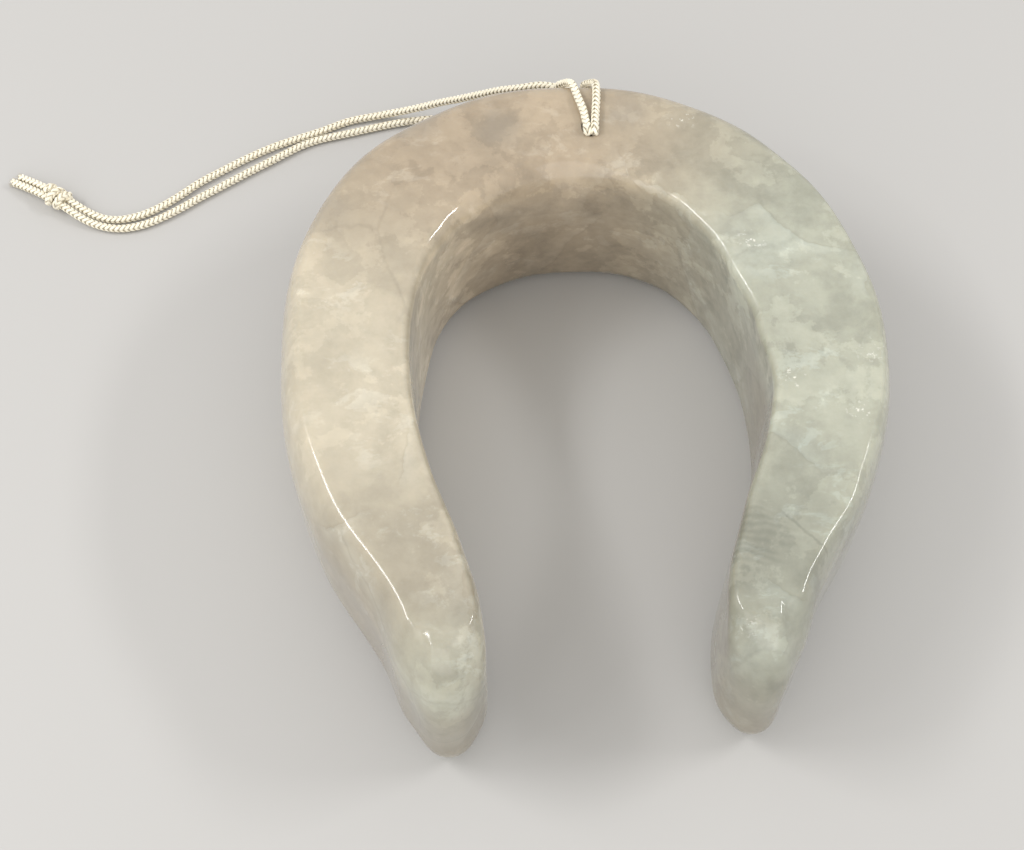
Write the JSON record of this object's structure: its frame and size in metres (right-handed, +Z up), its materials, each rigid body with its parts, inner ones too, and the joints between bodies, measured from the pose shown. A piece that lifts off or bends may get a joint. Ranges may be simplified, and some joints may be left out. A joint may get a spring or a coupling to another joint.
{
  "type": "quartz horseshoe chime",
  "caption": "Solid polished quartz horseshoe that rings when struck, with a doubled braided hanging cord hitched through a slanted hole in its crown.",
  "frame": {"origin": "centre of the stone's bounding box, on the surface it lies on, measured without the cord", "axes": "+Z up through the stone's thickness, +Y from the open tips to the crown where the cord is, +X to the right with the tips towards the viewer"},
  "size_m": [0.3099, 0.269, 0.0752],
  "materials": {
    "milky_quartz": "polished",
    "braided_cord": "matte"
  },
  "bodies": {
    "stone": {"quartz_horseshoe": "milky_quartz", "hitch_loop": "braided_cord"},
    "cord": {"cord_strand_back": "braided_cord", "cord_strand_front": "braided_cord", "end_knot": "braided_cord", "cord_end_back": "braided_cord", "cord_end_front": "braided_cord"}
  },
  "joints": [
    {"name": "cord_swing", "type": "hinge", "parent": "stone", "child": "cord", "pos_m": [0.0081, 0.1215, 0.041], "axis": [0, 0, 1], "range_deg": [-110, 30]}
  ]
}
